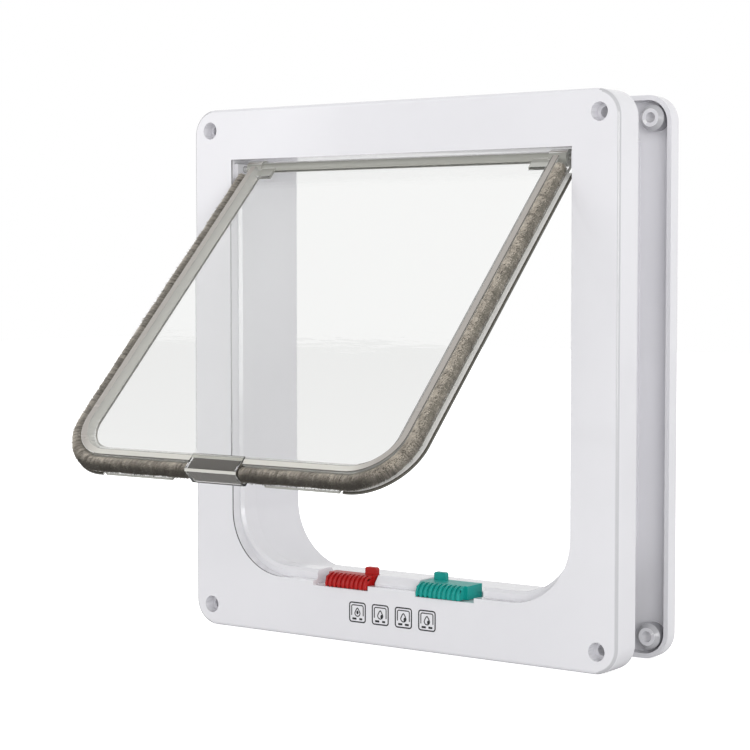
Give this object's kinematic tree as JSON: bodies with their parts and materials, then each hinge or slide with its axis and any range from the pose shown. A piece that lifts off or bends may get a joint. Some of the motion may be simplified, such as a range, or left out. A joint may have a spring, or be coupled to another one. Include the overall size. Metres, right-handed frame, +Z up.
{
  "type": "cat flap",
  "caption": "Door-mounted cat flap: white frames with a tunnel, a clear swinging flap edged with pile, and sliding locks.",
  "frame": {"origin": "centre of the four-screw pattern, on the face of the front frame that meets the door", "axes": "+Z up, +Y into the door from the front frame to the rear frame, +X across; the front face looks along -Y"},
  "size_m": [0.235, 0.1822, 0.25],
  "materials": {
    "white_plastic": "gloss moulded white",
    "clear_plastic": "clear moulded, polished",
    "pile": "woven pile, grey beige",
    "steel": "drawn rod",
    "magnet": "sintered, dark grey",
    "red_plastic": "gloss moulded red",
    "green_plastic": "gloss moulded blue-green"
  },
  "bodies": {
    "front": {"front_frame": "white_plastic", "hinge_bush_left": "white_plastic", "hinge_bush_right": "white_plastic", "sill_cover": "white_plastic", "sill_magnet": "magnet"},
    "rear": {"rear_frame": "white_plastic"},
    "flap": {"flap_panel": "clear_plastic", "pile_strip_left": "pile", "pile_strip_right": "pile", "magnet_holder": "clear_plastic", "flap_magnet": "magnet", "hinge_rod": "steel"},
    "red_lock": {"red_slider": "red_plastic"},
    "green_lock": {"green_slider": "green_plastic"}
  },
  "joints": [
    {"name": "flap_swing", "type": "hinge", "parent": "front", "child": "flap", "pos_m": [0, -0.0076, 0.0964], "axis": [1, 0, 0], "range_deg": [-40, 130]},
    {"name": "red_lock_slide", "type": "slide", "parent": "front", "child": "red_lock", "axis": [-1, 0, 0], "range_m": [0, 0.007]},
    {"name": "green_lock_slide", "type": "slide", "parent": "front", "child": "green_lock", "axis": [1, 0, 0], "range_m": [0, 0.007]},
    {"name": "rear_telescope", "type": "slide", "parent": "front", "child": "rear", "axis": [0, 1, 0], "range_m": [-0.012, 0.006]}
  ]
}
